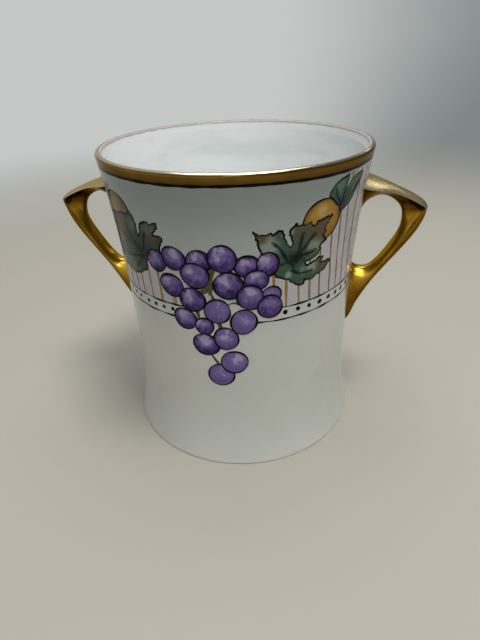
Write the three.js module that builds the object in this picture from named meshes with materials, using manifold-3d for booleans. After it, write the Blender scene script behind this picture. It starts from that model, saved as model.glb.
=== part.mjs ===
// A condensed milk holder: a waisted porcelain cup that stands round a tin of milk at the table,
// with two gilded handles bent to a sharp corner, a gilded lip and a foot ring left bare of glaze.
// A hole in the floor lets a finger push the tin back out.
// Lengths are in millimetres, +Z is up, and the origin is on the table under the middle of the cup.
import * as THREE from "three";
import { mergeVertices } from "three/addons/utils/BufferGeometryUtils.js";
import Module from "manifold-3d";

// Cup
const height = 124.6;
const rimRadius = 54;
const waistInset = 5.1; // the waist and the foot are this much narrower than the rim, in radius
const footInset = 1;
const waistHeight = 47;
const rimFlare = 2.4; // powers of the two curves: a higher one keeps the wall upright for longer
const footFlare = 2.7;
const wallThickness = 3.3; // at the table, thinning evenly to the lip
const lipThickness = 2.5;
const floorThickness = 4;
const floorCornerRadius = 5;
const fingerHoleRadius = 12;
const fingerHoleRounding = 1;

// Gilded lip and foot ring
const gildedLipHeight = 3.6;
const footRingHeight = 2.5;
const footRingWidth = 3.8;
const footEdgeRadius = 0.5;
const footInnerBevel = 0.4;
const footRecess = 1; // the floor's underside lies this far above the foot ring

// Handles: a strap with a crowned outer face, whose sides draw in to a narrow inner edge. The outer
// face widens into a flange along the upper arm, up to its root. At the lower root the strap's inner
// half spreads out over the wall.
const handleTopDrop = 13.4; // from the lip down to the top of the upper root
const handleDrop = 66.7; // from there down to the end of the lower root
const handleReach = 26.3; // from the wall out to the corner
const handleSeatGap = 0.3; // between the roots and the wall
const handleRootSink = 3; // how far the uncut roots run into the wall
const upperArmWidth = 9;
const cornerWidth = 7.4;
const lowerArmWidth = 8.4;
const tailWidth = 2;
const upperRootFlange = 11.3; // what the flange adds to one side of the arm
const innerEdge = 0.6; // half the inner edge's width
const lowerRootSpread = 6.2; // what the spread adds to one side of the lower root
const upperCrown = 0.9; // how far the outer face bows out, on each arm
const lowerCrown = 3;
const sideRounding = 0.55; // power of the sides' curve: at 1 the upper arm's sides are flat
const spreadRounding = 6; // power of the spread's curve: a higher one ends it in a squarer corner

// Fineness
const roundSegments = 90;
const wallSteps = 8;
const cornerSteps = 4;
const stationSteps = 3;
const faceSteps = 4;
const sideSteps = 6;

const wasm = await Module();
wasm.setup();

const handleTop = height - handleTopDrop;
const lipSeat = height - gildedLipHeight;
const waistRadius = rimRadius - waistInset;
const footRadius = rimRadius - footInset;
const footInnerRadius = footRadius - footRingWidth;
const floorUnderside = footRingHeight + footRecess;
const floorTop = floorUnderside + floorThickness;

// The outer radius of the wall swells from the waist up to the rim and down to the foot.
function wallRadius(z) {
  if (z > waistHeight) {
    const up = (z - waistHeight) / (height - waistHeight);
    return waistRadius + (rimRadius - waistRadius) * up ** rimFlare;
  }
  const down = (waistHeight - z) / waistHeight;
  return waistRadius + (footRadius - waistRadius) * down ** footFlare;
}

function innerRadius(z) {
  return wallRadius(z) - THREE.MathUtils.lerp(wallThickness, lipThickness, z / height);
}

// Points of a profile, as radius and height, along a curve given as a function of the height.
function wallLine(radiusAt, fromZ, toZ, steps = wallSteps) {
  const points = [];
  for (let i = 0; i <= steps; i++) {
    const z = THREE.MathUtils.lerp(fromZ, toZ, i / steps);
    points.push(new THREE.Vector2(radiusAt(z), z));
  }
  return points;
}

// Points of a profile along a round corner, with angles in degrees from outwards towards up.
function arc(radius, z, size, fromAngle, toAngle, steps = cornerSteps) {
  const points = [];
  for (let i = 0; i <= steps; i++) {
    const angle = THREE.MathUtils.degToRad(THREE.MathUtils.lerp(fromAngle, toAngle, i / steps));
    points.push(new THREE.Vector2(radius + size * Math.cos(angle), z + size * Math.sin(angle)));
  }
  return points;
}

// Turns a profile that closes on itself, given up its outer side first, about the vertical axis.
function revolve(points) {
  return new THREE.LatheGeometry([...points, points[0]], roundSegments).rotateX(Math.PI / 2);
}

function toSolid(geometry) {
  const bare = geometry.clone();
  bare.deleteAttribute("normal");
  bare.deleteAttribute("uv");
  const merged = mergeVertices(bare);
  const vertProperties = new Float32Array(merged.attributes.position.array);
  const triVerts = new Uint32Array(merged.index.array);
  return new wasm.Manifold(new wasm.Mesh({ numProp: 3, vertProperties, triVerts }));
}

function toGeometry(solid) {
  const { vertProperties, triVerts } = solid.getMesh();
  const geometry = new THREE.BufferGeometry();
  geometry.setAttribute("position", new THREE.BufferAttribute(vertProperties, 3));
  geometry.setIndex(new THREE.BufferAttribute(triVerts, 1));
  geometry.computeVertexNormals();
  return geometry;
}

// Wall and floor in one shell, between the foot ring and the gilded lip.
function bodyShell() {
  const wallFoot = floorTop + floorCornerRadius;
  const cornerRadius = innerRadius(wallFoot) - floorCornerRadius;
  const holeEdge = fingerHoleRadius + fingerHoleRounding;
  return revolve([
    ...wallLine(wallRadius, footRingHeight, lipSeat),
    ...wallLine(innerRadius, lipSeat, wallFoot),
    ...arc(cornerRadius, wallFoot, floorCornerRadius, 0, -90).slice(1),
    ...arc(holeEdge, floorTop - fingerHoleRounding, fingerHoleRounding, 90, 180),
    ...arc(holeEdge, floorUnderside + fingerHoleRounding, fingerHoleRounding, 180, 270),
    ...arc(footInnerRadius - footRecess, footRingHeight, footRecess, 90, 0),
  ]);
}

// The top of the wall, rounded over and gilded.
function gildedLip() {
  const rounding = lipThickness / 2;
  const springing = height - rounding;
  return revolve([
    new THREE.Vector2(wallRadius(lipSeat), lipSeat),
    ...arc(wallRadius(springing) - rounding, springing, rounding, 0, 180, 2 * cornerSteps),
    new THREE.Vector2(innerRadius(lipSeat), lipSeat),
  ]);
}

// The unglazed ring that the cup stands on.
function footRing() {
  const outerEdge = wallRadius(footEdgeRadius) - footEdgeRadius;
  return revolve([
    new THREE.Vector2(footInnerRadius, footRingHeight),
    new THREE.Vector2(footInnerRadius, footInnerBevel),
    new THREE.Vector2(footInnerRadius + footInnerBevel, 0),
    ...arc(outerEdge, footEdgeRadius, footEdgeRadius, -90, 0),
    new THREE.Vector2(wallRadius(footRingHeight), footRingHeight),
  ]);
}

// Stations of a handle's loft. crown and inner are the ends of the strap's section, as shares of
// the reach out from the wall and of the drop down from the upper root. Flanges and spreads are in
// parts of their full width. A higher fade keeps the flange closer to the crown, and a higher round
// makes the sides fuller.
const cornerStation = 7;
const upperArm = { arm: upperArmWidth, bow: upperCrown, round: 1, fade: 1, flange: 0, spread: 0 };
const lowerArm = { arm: lowerArmWidth, bow: lowerCrown, round: 2, fade: 1, flange: 0, spread: 0 };
const handleStations = [
  { ...upperArm, crown: [0, 0], inner: [0, 0.209], flange: 1, fade: 0.75 },
  { ...upperArm, crown: [0.05, 0.008], inner: [0.035, 0.175], flange: 0.97, fade: 0.8 },
  { ...upperArm, crown: [0.15, 0.022], inner: [0.105, 0.142], flange: 0.85 },
  { ...upperArm, crown: [0.31, 0.042], inner: [0.27, 0.115], flange: 0.56, fade: 1.4 },
  { ...upperArm, crown: [0.545, 0.077], inner: [0.445, 0.134], flange: 0.27, fade: 2.4 },
  { ...upperArm, crown: [0.8, 0.122], inner: [0.565, 0.17], flange: 0.28, fade: 3.2 },
  { ...upperArm, crown: [0.94, 0.155], inner: [0.62, 0.199], flange: 0.15, fade: 3.6 },
  { ...upperArm, crown: [1, 0.18], inner: [0.647, 0.228], arm: cornerWidth },
  { ...lowerArm, crown: [0.985, 0.262], inner: [0.664, 0.285], arm: cornerWidth, round: 1.5 },
  { ...lowerArm, crown: [0.86, 0.382], inner: [0.635, 0.361] },
  { ...lowerArm, crown: [0.61, 0.538], inner: [0.503, 0.476] },
  { ...lowerArm, crown: [0.39, 0.67], inner: [0.33, 0.567], spread: 0.1 },
  { ...lowerArm, crown: [0.24, 0.78], inner: [0.175, 0.586], spread: 0.3 },
  { ...lowerArm, crown: [0.14, 0.872], inner: [0.085, 0.578], arm: 0.75 * lowerArmWidth, spread: 0.5 },
  { ...upperArm, crown: [0.07, 0.955], inner: [0.03, 0.567], arm: 0.45 * lowerArmWidth, spread: 0.78 },
  { ...upperArm, crown: [0, 1], inner: [0, 0.555], arm: tailWidth, spread: 1 },
];

// A station's point, with x as the distance out from the wall.
function stationPoint([out, down]) {
  return new THREE.Vector3(out * handleReach, 0, handleTop - down * handleDrop);
}

// Half the strap's width at a share of its depth, from the crown (0) to the inner edge (1).
function halfWidth(share, { arm, round, flange, fade, spread }) {
  const side = (arm / 2) * (1 - share ** round) ** sideRounding;
  const swell = share * Math.sqrt(1 - share ** spreadRounding);
  return side + flange * (1 - share) ** fade + spread * swell + innerEdge * share;
}

// One section of the strap, as points once round it: over the crown, down one side, across the
// inner edge and up the other side.
function handleSection(crown, inner, form) {
  const rise = form.bow / crown.distanceTo(inner);
  const section = [];
  const addPoint = (along, y) => section.push(crown.clone().lerp(inner, along).setY(y));
  for (let i = 0; i < faceSteps; i++) {
    const across = (2 * i) / faceSteps - 1;
    addPoint(rise * across ** 2, across * halfWidth(0, form));
  }
  for (let i = 0; i <= 2 * sideSteps; i++) {
    const share = Math.sin((Math.PI / 2) * (i / sideSteps)) ** 2;
    const along = THREE.MathUtils.lerp(rise, 1, share);
    if (i < sideSteps) {
      addPoint(along, halfWidth(share, form));
    } else if (i === sideSteps) {
      addPoint(1, innerEdge);
      addPoint(1, -innerEdge);
    } else if (i < 2 * sideSteps) {
      addPoint(along, -halfWidth(share, form));
    }
  }
  return section;
}

// Moves a point from its distance out from the wall to its place, round the wall's curve.
function offWall(point) {
  const seat = Math.sqrt(wallRadius(point.z) ** 2 - point.y ** 2);
  return new THREE.Vector3(seat + point.x, point.y, point.z);
}

function sinkIntoWall(section) {
  return section.map((point) => point.clone().setX(point.x - handleRootSink));
}

// Skins a row of sections that all have the same number of points, and closes both ends.
function loft(sections) {
  const count = sections[0].length;
  const indices = [];
  for (let j = 0; j < sections.length - 1; j++) {
    for (let i = 0; i < count; i++) {
      const a = j * count + i;
      const b = j * count + ((i + 1) % count);
      indices.push(a, a + count, b, b, a + count, b + count);
    }
  }
  const last = (sections.length - 1) * count;
  for (let i = 1; i < count - 1; i++) {
    indices.push(0, i, i + 1, last, last + i + 1, last + i);
  }
  const geometry = new THREE.BufferGeometry().setFromPoints(sections.flat());
  geometry.setIndex(indices);
  return geometry;
}

// A smooth curve through values held at the stations, read by station number.
function alongStations(points) {
  const curve = new THREE.CatmullRomCurve3(points, false, "catmullrom");
  return (station) => curve.getPoint(station / (points.length - 1));
}

function handle() {
  const crowns = handleStations.map((station) => stationPoint(station.crown));
  const upperLine = alongStations(crowns.slice(0, cornerStation + 1));
  const lowerLine = alongStations(crowns.slice(cornerStation));
  const inners = alongStations(handleStations.map((station) => stationPoint(station.inner)));
  const widths = alongStations(
    handleStations.map(
      ({ arm, flange, spread }) =>
        new THREE.Vector3(arm, upperRootFlange * flange, lowerRootSpread * spread),
    ),
  );
  const curves = alongStations(
    handleStations.map(({ fade, bow, round }) => new THREE.Vector3(fade, bow, round)),
  );
  const sections = [];
  for (let i = 0; i <= (handleStations.length - 1) * stationSteps; i++) {
    const at = i / stationSteps;
    const crown = at < cornerStation ? upperLine(at) : lowerLine(at - cornerStation);
    const { x: arm, y: flange, z: spread } = widths(at);
    const { x: fade, y: bow, z: round } = curves(at);
    sections.push(handleSection(crown, inners(at), { arm, flange, spread, fade, bow, round }));
  }
  sections.unshift(sinkIntoWall(sections[0]));
  sections.push(sinkIntoWall(sections.at(-1)));
  const strap = loft(sections.map((section) => section.map(offWall)));
  return toGeometry(toSolid(strap).subtract(wallCutter()));
}

// What a handle's roots are cut back by: the wall with the seat gap round it.
function wallCutter() {
  const core = wallRadius(handleTop) / 2;
  const seat = wallLine((z) => wallRadius(z) + handleSeatGap, 0, height, 3 * wallSteps);
  return toSolid(revolve([...seat, new THREE.Vector2(core, height), new THREE.Vector2(core, 0)]));
}

const porcelain = { color: 0xe8ebe7, roughness: 0.12, metalness: 0 };
const gilding = { color: 0xb5822a, roughness: 0.2, metalness: 1 };
const bareClay = { color: 0xe9e4d8, roughness: 0.75, metalness: 0 };

const holder = new THREE.Group();

function addPiece(name, geometry, finish) {
  const piece = new THREE.Mesh(geometry, new THREE.MeshStandardMaterial(finish));
  piece.name = name;
  holder.add(piece);
  return piece;
}

addPiece("body_shell", bodyShell(), porcelain);
addPiece("gilded_lip", gildedLip(), gilding);
addPiece("foot_ring", footRing(), bareClay);
const handleGeometry = handle();
addPiece("handle_right", handleGeometry, gilding);
addPiece("handle_left", handleGeometry, gilding).rotation.z = Math.PI;

export default holder;
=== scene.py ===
import math
import random

import bpy
import numpy as np
from mathutils import Matrix, Vector
from mathutils.geometry import delaunay_2d_cdt


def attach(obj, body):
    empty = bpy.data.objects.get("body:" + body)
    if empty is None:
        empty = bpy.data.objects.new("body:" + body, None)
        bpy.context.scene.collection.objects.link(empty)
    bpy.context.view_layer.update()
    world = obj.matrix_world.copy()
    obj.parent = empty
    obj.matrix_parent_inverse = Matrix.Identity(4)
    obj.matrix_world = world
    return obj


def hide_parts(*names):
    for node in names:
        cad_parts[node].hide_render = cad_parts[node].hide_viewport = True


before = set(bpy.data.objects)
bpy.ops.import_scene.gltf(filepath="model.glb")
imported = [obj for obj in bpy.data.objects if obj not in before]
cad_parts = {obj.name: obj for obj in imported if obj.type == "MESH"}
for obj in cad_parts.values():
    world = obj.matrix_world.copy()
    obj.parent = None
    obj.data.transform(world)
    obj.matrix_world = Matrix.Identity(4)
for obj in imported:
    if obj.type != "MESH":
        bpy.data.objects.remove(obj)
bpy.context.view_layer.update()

# All lengths below are in millimetres in the part's frame, and meshes are scaled to metres.
MM = 0.001

HEIGHT, WAIST_HEIGHT = 124.6, 47
RIM_RADIUS, WAIST_RADIUS, FOOT_RADIUS = 54, 48.9, 53
RIM_FLARE, FOOT_FLARE = 2.4, 2.7  # powers of the wall's curves, up and down from the waist
WALL_AT_LIP, WALL_AT_FOOT = 2.5, 3.3  # the wall's thickness
LIP_SEAT = 121.0
FOOT_RING_TOP, FOOT_INNER_RADIUS = 2.5, 49.2
FOOT_RECESS, FOOT_EDGE, FOOT_BEVEL = 1.0, 0.5, 0.4
FLOOR_TOP, FLOOR_CORNER = 7.5, 5
FINGER_HOLE, FINGER_HOLE_ROUNDING = 12, 1
ARC_RADIUS = 49.5  # radius at which distances round the wall are given
HALF_ROUND = math.pi * ARC_RADIUS  # from the middle of the front to the middle of the back


def wall_radius(z):
    z = np.asarray(z, float)
    up = np.clip((z - WAIST_HEIGHT) / (HEIGHT - WAIST_HEIGHT), 0, None)
    down = np.clip((WAIST_HEIGHT - z) / WAIST_HEIGHT, 0, None)
    rim, foot = RIM_RADIUS - WAIST_RADIUS, FOOT_RADIUS - WAIST_RADIUS
    return WAIST_RADIUS + rim * up**RIM_FLARE + foot * down**FOOT_FLARE


def inner_radius(z):
    return wall_radius(z) - (WALL_AT_FOOT + (WALL_AT_LIP - WALL_AT_FOOT) * z / HEIGHT)


# Meshes

def new_object(name, data):
    """A new object, linked into the scene."""
    thing = bpy.data.objects.new(name, data)
    bpy.context.scene.collection.objects.link(thing)
    return thing


def add_object(name, vertices, faces, material, attributes, sharp=35):
    """A smooth object from points in millimetres, with edges sharper than an angle kept crisp."""
    mesh = bpy.data.meshes.new(name)
    mesh.from_pydata((np.asarray(vertices) * MM).tolist(), [], faces)
    mesh.validate()
    for key, values in attributes.items():
        layer = mesh.attributes.new(key, "FLOAT_VECTOR", "POINT")
        layer.data.foreach_set("vector", np.asarray(values, np.float32).ravel())
    mesh.shade_smooth()
    mesh.set_sharp_from_angle(angle=math.radians(sharp))
    mesh.materials.append(material)
    return new_object(name, mesh)


def keep(thing, slot, *nodes):
    """Attaches a piece to its body and hides the nodes that it stands for; slot, its material slot, is not
    used.
    """
    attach(thing, "root")
    if nodes:
        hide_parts(*nodes)


def tube(rows, count, closed=False):
    """The faces between rows of points that each go round a section."""
    faces = []
    for i in range(rows if closed else rows - 1):
        a, b = i * count, (i + 1) % rows * count
        for j in range(count):
            k = (j + 1) % count
            faces.append((a + j, b + j, b + k, a + k))
    return faces


def revolve(name, profile, material, inside=None, segments=288):
    """Turns a closed profile of (radius, z) points, given up its outer side first."""
    r, z = profile.T
    turn = np.arange(segments) * 2 * math.pi / segments
    x, y = np.outer(np.sin(turn), r), -np.outer(np.cos(turn), r)
    vertices = np.stack([x, y, np.broadcast_to(z, x.shape)], axis=2).reshape(-1, 3)
    attributes = {}
    if inside is not None:
        attributes["inside"] = np.repeat(np.tile(inside, segments)[:, None], 3, axis=1)
    return add_object(name, vertices, tube(segments, len(profile), closed=True), material, attributes)


def profile_line(radius_at, from_z, to_z, steps):
    z = np.linspace(from_z, to_z, steps + 1)
    return np.column_stack([radius_at(z), z])


def profile_arc(r, z, size, from_angle, to_angle, steps=8):
    a = np.radians(np.linspace(from_angle, to_angle, steps + 1))
    return np.column_stack([r + size * np.cos(a), z + size * np.sin(a)])


# Materials

def linear(code):
    """Linear colour from a hexadecimal sRGB one."""
    values = [int(code[i : i + 2], 16) / 255 for i in (1, 3, 5)]
    return [v / 12.92 if v <= 0.04045 else ((v + 0.055) / 1.055) ** 2.4 for v in values] + [1]


class Nodes:
    """Builds up the node tree of a material or a world."""

    def __init__(self, owner):
        owner.use_nodes = True
        self.tree = owner.node_tree

    def plug(self, value, socket):
        """Links an output to an input socket, or sets the socket to a number or a colour code."""
        if isinstance(value, bpy.types.NodeSocket):
            self.tree.links.new(value, socket)
        else:
            socket.default_value = linear(value) if isinstance(value, str) else value

    def node(self, kind, inputs=None, **settings):
        """A new node's outputs."""
        made = self.tree.nodes.new("ShaderNode" + kind)
        for key, value in settings.items():
            setattr(made, key, value)
        for key, value in (inputs or {}).items():
            self.plug(value, made.inputs[key])
        return made.outputs

    def math(self, operation, *values):
        return self.node("Math", dict(enumerate(values)), operation=operation)[0]

    def add(self, first, second):
        return self.math("ADD", first, second)

    def times(self, first, second):
        return self.math("MULTIPLY", first, second)

    def most(self, first, second):
        return self.math("MAXIMUM", first, second)

    def squares(self, x, z):
        return self.add(self.times(x, x), self.times(z, z))

    def vector(self, operation, *values):
        return self.node("VectorMath", dict(enumerate(values)), operation=operation)

    def split(self, vector):
        return self.node("SeparateXYZ", {0: vector})

    def ramp(self, value, low, high, from_value=0.0, to_value=1.0):
        """A smooth step between two values, where another one goes from low to high."""
        inputs = dict(enumerate((value, low, high, from_value, to_value)))
        return self.node("MapRange", inputs, interpolation_type="SMOOTHSTEP")[0]

    def mix(self, share, first, second):
        """The first colour, with a share of the second one."""
        return self.node("Mix", {0: share, 6: first, 7: second}, data_type="RGBA")[2]

    def seen(self):
        """1 for rays from the camera, from gloss and through glass, and 0 for those that light things."""
        paths = self.node("LightPath")
        seen = self.most(paths["Is Camera Ray"], paths["Is Glossy Ray"])
        return self.most(seen, paths["Is Transmission Ray"])

    def show(self, share, first, second, output):
        """Puts the first shader on an output, with a share of the second one."""
        blend = self.node("MixShader", {0: share, 1: first, 2: second})[0]
        self.plug(blend, self.tree.nodes[output].inputs["Surface"])


class Finish(Nodes):
    """A procedural material round one Principled shader. Its coordinates are in metres."""

    def __init__(self, name, color, roughness, metallic=0.0, specular=0.5, coat=0.0):
        self.material = bpy.data.materials.new(name)
        super().__init__(self.material)
        self.shader = self.tree.nodes["Principled BSDF"]
        sockets = "Base Color", "Roughness", "Metallic", "Specular IOR Level", "Coat Weight"
        for socket, value in zip(sockets, (color, roughness, metallic, specular, coat)):
            self.set(socket, value)
        self.coordinates = self.node("TexCoord")["Object"]

    def set(self, socket, value):
        self.plug(value, self.shader.inputs[socket])

    def noise(self, scale, detail=3.0, roughness=0.5, stretch=(1, 1, 1), distortion=0.0):
        """Noise by size: scale is in features to the metre."""
        stretched = self.vector("MULTIPLY", self.coordinates, stretch)[0]
        inputs = {"Vector": stretched, "Scale": scale, "Detail": detail, "Roughness": roughness}
        return self.node("TexNoise", {**inputs, "Distortion": distortion})["Fac"]

    def done(self, color, roughness):
        self.set("Base Color", color)
        self.set("Roughness", roughness)
        return self.material

    def bump(self, height, strength, distance):
        inputs = {"Height": height, "Strength": strength, "Distance": distance}
        self.set("Normal", self.node("Bump", inputs)["Normal"])

    def attribute(self, name):
        """The three parts of a point attribute."""
        return self.split(self.node("Attribute", attribute_name=name)["Vector"])

    def height(self):
        return self.split(self.coordinates)[2]

    def upward(self):
        """How far the surface faces up, from -1 to 1."""
        return self.split(self.node("NewGeometry")["Normal"])[2]


# INNER_GLAZE is a whiter, lit copy of GLAZE: painted light for the inside of the cup and the inner side of
# the lip.
GLAZE, INNER_GLAZE = "#dfe2dc", "#f4f6f6"
# SPECK_AND_SHADE_GOLD colours real dark specks and painted shade; PALE_GOLD is a painted pale sheen and a
# specular tint; BRIGHT_GOLD is a painted highlight.
GOLD, RUBBED_GOLD, SPECK_AND_SHADE_GOLD = "#c0922e", "#93691a", "#4c3005"
PALE_GOLD, BRIGHT_GOLD, GRAZING_GOLD = "#ddd5bc", "#f2ca52", "#cdb98e"


def glaze_tone(finish):
    """White glaze with faint drifts of tone and stains. The outside is greyed towards the lip as painted
    shade; the inside is a whiter, lit copy of the glaze, darkened towards its floor as painted shade.
    """
    tone = finish.mix(finish.ramp(finish.noise(22, 3), 0.3, 0.75), GLAZE, "#d6dad3")
    height = finish.height()
    # Painted shade: the outside greys towards the lip, and darker still just under it.
    tone = finish.mix(finish.ramp(height, 0.055, 0.115, 0.0, 0.85), tone, "#a8b3b4")
    tone = finish.mix(finish.ramp(height, 0.1, 0.121, 0.0, 0.45), tone, "#778081")
    smeared = finish.ramp(finish.noise(14, 4, 0.6, stretch=(1, 1, 5)), 0.4, 0.7, 0.0, 0.6)
    # Inside: the whiter, lit copy of the glaze (painted light), with real smears.
    within = finish.mix(smeared, INNER_GLAZE, "#dbe3e2")
    # Painted shade: the inside darkens towards its floor.
    within = finish.mix(finish.ramp(height, 0.015, 0.06, 0.9, 0.0), within, "#b9bfbd")
    inside = finish.attribute("inside")[0]
    tone = finish.mix(inside, tone, within)
    smudges = finish.ramp(finish.noise(34, 5, 0.6, stretch=(1, 1, 3)), 0.52, 0.75, 0.0, 0.4)
    rim_stain = finish.times(finish.ramp(height, 0.098, 0.12), smudges)
    tone = finish.mix(finish.times(inside, rim_stain), tone, "#cfc0ba")
    stained = finish.ramp(finish.noise(48, 5, 0.65, distortion=0.6), 0.56, 0.8, 0.0, 0.4)
    return finish.mix(stained, tone, "#cdc8c2")


def porcelain_finish(name):
    """White glaze with a slightly uneven, wavy gloss."""
    finish = Finish(name, GLAZE, 0.12)
    finish.bump(finish.noise(55, 1.5), 0.2, 0.0004)
    return finish.done(glaze_tone(finish), finish.ramp(finish.noise(60, 4), 0.3, 0.75, 0.08, 0.17))


def gold_tone(finish):
    """Burnished gold, browner where it is rubbed, with small dark specks, and darker where it faces down
    as painted shade.
    """
    rubbed = finish.ramp(finish.noise(95, 4, 0.6), 0.35, 0.75)
    specks = finish.ramp(finish.noise(900, 3, 0.6), 0.64, 0.74, 0.0, 0.5)
    tone = finish.mix(specks, finish.mix(rubbed, GOLD, RUBBED_GOLD), SPECK_AND_SHADE_GOLD)
    # Painted shade: the gold darkens where it faces down.
    return finish.mix(finish.ramp(finish.upward(), -0.55, 0.3, 0.85, 0.0), tone, SPECK_AND_SHADE_GOLD)


def gold_finish(name):
    """Burnished gold film with brush streaks in its gloss, with painted shade along its creases, a painted
    pale sheen on the upper arms' faces and a painted highlight on the lower roots.
    """
    finish = Finish(name, GOLD, 0.25, metallic=1.0)
    finish.set("Specular Tint", GRAZING_GOLD)
    # The three values are the painted shade of the creases, the painted pale sheen of the upper faces and
    # the painted highlight of the lower roots.
    crease, pale, bright = finish.attribute("painted_light")
    # Painted sheen: the upper arms' faces are paler.
    patchy = finish.times(pale, finish.ramp(finish.noise(120, 3, 0.6), 0.3, 0.7, 0.65, 1.0))
    tone = finish.mix(patchy, gold_tone(finish), PALE_GOLD)
    # Painted highlight on the lower roots.
    tone = finish.mix(finish.times(bright, 0.75), tone, BRIGHT_GOLD)
    # Painted shade along the creases below the upper arms and just past the corner.
    tone = finish.mix(finish.ramp(crease, 0.1, 0.8, 0.0, 0.95), tone, "#2c1a02")
    streaks = finish.ramp(finish.noise(160, 4, 0.65, stretch=(1, 1, 0.4)), 0.3, 0.75, 0.2, 0.33)
    finish.bump(finish.noise(130, 2), 0.1, 0.0002)
    return finish.done(tone, finish.add(streaks, finish.times(bright, 0.03)))


# Body

def body_profile():
    wall_foot = FLOOR_TOP + FLOOR_CORNER
    corner = float(inner_radius(wall_foot)) - FLOOR_CORNER
    underside = FOOT_RING_TOP + FOOT_RECESS
    hole_edge = FINGER_HOLE + FINGER_HOLE_ROUNDING
    return np.vstack([
        profile_line(wall_radius, FOOT_RING_TOP, LIP_SEAT, 96),
        profile_line(inner_radius, LIP_SEAT, wall_foot, 72),
        profile_arc(corner, wall_foot, FLOOR_CORNER, 0, -90, 12)[1:],
        profile_arc(hole_edge, FLOOR_TOP - FINGER_HOLE_ROUNDING, FINGER_HOLE_ROUNDING, 90, 180),
        profile_arc(hole_edge, underside + FINGER_HOLE_ROUNDING, FINGER_HOLE_ROUNDING, 180, 270),
        profile_arc(FOOT_INNER_RADIUS - FOOT_RECESS, FOOT_RING_TOP, FOOT_RECESS, 90, 0),
    ])


def foot_profile():
    outer_edge = float(wall_radius(FOOT_EDGE)) - FOOT_EDGE
    return np.vstack([
        [[FOOT_INNER_RADIUS, FOOT_RING_TOP]],
        profile_arc(FOOT_INNER_RADIUS + FOOT_BEVEL, FOOT_BEVEL, FOOT_BEVEL, 180, 270),
        profile_arc(outer_edge, FOOT_EDGE, FOOT_EDGE, -90, 0),
        profile_line(wall_radius, FOOT_EDGE, FOOT_RING_TOP, 4)[1:],
    ])


def lip_profile():
    rounding = WALL_AT_LIP / 2
    springing = HEIGHT - rounding
    crest = float(wall_radius(springing)) - rounding
    return np.vstack([
        profile_line(wall_radius, LIP_SEAT, springing - 0.2, 6),
        profile_arc(crest, springing, rounding, 0, 180, 24),
        profile_line(inner_radius, springing - 0.2, LIP_SEAT, 4),
    ])


def lip_finish():
    """Gold over the outer half of the lip, ending past its crest in a thin brown line, with painted dark
    reflections low on the band and along its shoulder and a painted pale highlight where it faces up.
    """
    finish = Finish("worn_gold_lip", GOLD, 0.2, coat=0.25)
    finish.set("Coat Roughness", 0.06)
    finish.set("Specular Tint", PALE_GOLD)
    x, y, z = finish.split(finish.coordinates)
    flat = finish.node("CombineXYZ", {0: x, 1: y})[0]
    wander = finish.ramp(finish.noise(330, 5, 0.7), 0.3, 0.7, -0.22 * MM, 0.22 * MM)
    place = finish.add(finish.vector("LENGTH", flat)["Value"], wander)
    edge = float(wall_radius(HEIGHT)) - WALL_AT_LIP / 2 - 0.45
    gilded = finish.ramp(place, (edge - 0.1) * MM, (edge + 0.05) * MM)
    beyond_line = finish.ramp(place, (edge + 0.1) * MM, (edge + 0.4) * MM)
    # Painted dark reflection: the band darkens towards its foot and along its shoulder.
    low = finish.ramp(z, LIP_SEAT * MM, (LIP_SEAT + 2) * MM, 0.65, 0.0)
    from_shoulder = finish.math("ABSOLUTE", finish.math("SUBTRACT", z, (LIP_SEAT + 2.95) * MM))
    shaded = finish.most(low, finish.ramp(from_shoulder, 0, 0.4 * MM, 0.75, 0))
    # The band's gold is half darker than the handles', and darker still under the painted dark reflection.
    tone = finish.mix(shaded, finish.mix(0.5, gold_tone(finish), SPECK_AND_SHADE_GOLD), SPECK_AND_SHADE_GOLD)
    # Painted highlight: paler gold where the lip faces up.
    tone = finish.mix(finish.ramp(finish.upward(), 0.45, 0.95, 0.0, 0.8), tone, PALE_GOLD)
    tone = finish.mix(beyond_line, "#5f3c30", tone)
    rise = finish.add(z, finish.times(wander, 0.5))
    beside = finish.ramp(rise, (HEIGHT - 1.15) * MM, (HEIGHT - 0.9) * MM, 0.0, 0.8)
    tone = finish.mix(gilded, finish.mix(beside, INNER_GLAZE, "#8a7a76"), tone)
    finish.set("Metallic", gilded)
    worn = finish.ramp(place, (edge + 0.1) * MM, (edge + 0.5) * MM, 0.4, 0.0)
    gloss = finish.ramp(finish.noise(160, 4, 0.65), 0.3, 0.75, 0.12, 0.25)
    return finish.done(tone, finish.add(gloss, worn))


def foot_finish():
    """Glaze down to the edge that the cup stands on, which is bare, grainy clay with grey marks."""
    finish = Finish("glazed_foot_with_bare_edge", GLAZE, 0.12, specular=0.4)
    wander = finish.ramp(finish.noise(260, 4, 0.6), 0.3, 0.7, -0.12 * MM, 0.12 * MM)
    bare = finish.ramp(finish.add(finish.height(), wander), 0.3 * MM, 0.6 * MM, 1.0, 0.0)
    grain = finish.noise(2600, 3, 0.6)
    clay = finish.mix(finish.ramp(finish.noise(70, 5, 0.65), 0.45, 0.75), "#ddd6c6", "#b9b1a2")
    clay = finish.mix(finish.ramp(grain, 0.5, 0.75, 0.0, 0.4), clay, "#a89f8f")
    finish.bump(finish.times(grain, bare), 0.35, 0.0001)
    tone = finish.mix(bare, glaze_tone(finish), clay)
    return finish.done(tone, finish.ramp(bare, 0, 1, 0.12, 0.75))


body_points = body_profile()
on_inner_wall = body_points[:, 0] < wall_radius(body_points[:, 1]) - 1
within = on_inner_wall & (body_points[:, 1] > FLOOR_TOP - 0.5)
glaze = porcelain_finish("porcelain_glaze")
keep(revolve("porcelain_body", body_points, glaze, within.astype(float)), "porcelain", "body_shell")
keep(revolve("gilded_rim", lip_profile(), lip_finish()), "gilding", "gilded_lip")
keep(revolve("foot_edge", foot_profile(), foot_finish()), "bare_clay", "foot_ring")


# Handles: the same stations as the solids, read with smooth curves and many more sections.

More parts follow.
